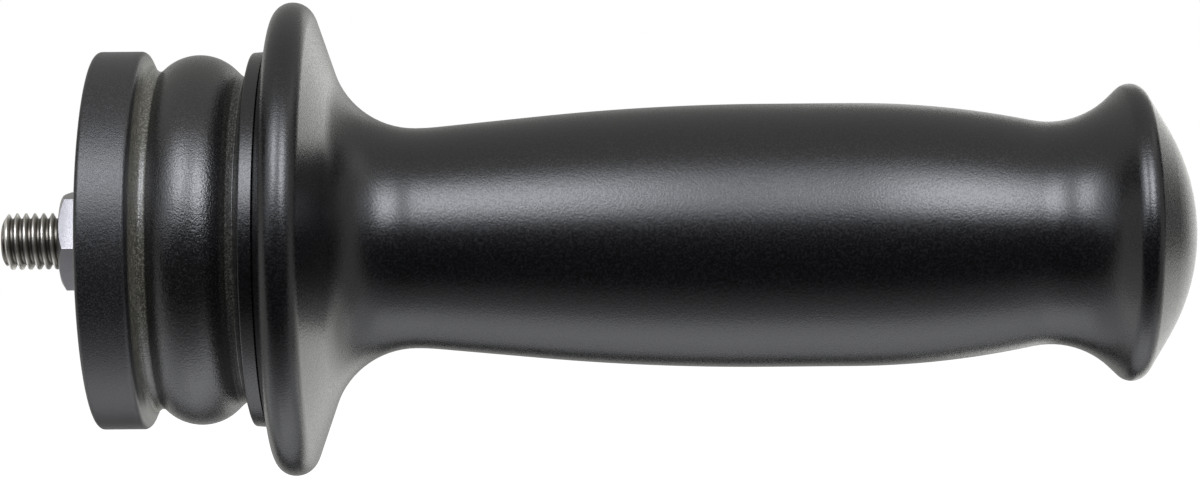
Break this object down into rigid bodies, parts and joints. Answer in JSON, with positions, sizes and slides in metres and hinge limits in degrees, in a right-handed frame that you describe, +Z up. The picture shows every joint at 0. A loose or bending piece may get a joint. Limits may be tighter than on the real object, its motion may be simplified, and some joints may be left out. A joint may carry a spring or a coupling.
{
  "type": "power tool side handle",
  "caption": "Side handle for a hand-held power tool: a threaded stud, a rubber vibration damper and a moulded grip with a hand guard flange.",
  "frame": {"origin": "on the axis of the stud, at the front face of the lock nut, which seats on the tool", "axes": "+X along the axis from the stud to the rounded end of the grip, +Z up; the handle is round about X"},
  "size_m": [0.1689, 0.067, 0.067],
  "materials": {
    "black_nylon": "satin, fine moulded grain",
    "damper_rubber": "satin, fine grain",
    "stud_steel": "rolled thread, bright",
    "zinc_nut": "bright zinc plate",
    "zinc_washer": "zinc plate"
  },
  "bodies": {
    "mount": {"threaded_stud": "stud_steel", "lock_nut": "zinc_nut", "front_disc": "black_nylon", "stop_washer": "zinc_washer", "stop_nut": "zinc_washer"},
    "damper": {"damper": "damper_rubber"},
    "grip": {"rear_hub": "black_nylon", "grip": "black_nylon"}
  },
  "joints": [
    {"name": "tilt_up_down", "type": "hinge", "parent": "mount", "child": "damper", "pos_m": [0.01963, 0, 0], "axis": [0, 1, 0], "range_deg": [-3, 3], "stiffness_Nm_per_rad": 30, "deforming": ["damper"]},
    {"name": "tilt_sideways", "type": "hinge", "parent": "damper", "child": "grip", "pos_m": [0.01963, 0, 0], "axis": [0, 0, 1], "range_deg": [-3, 3], "stiffness_Nm_per_rad": 30, "deforming": ["damper"]}
  ]
}
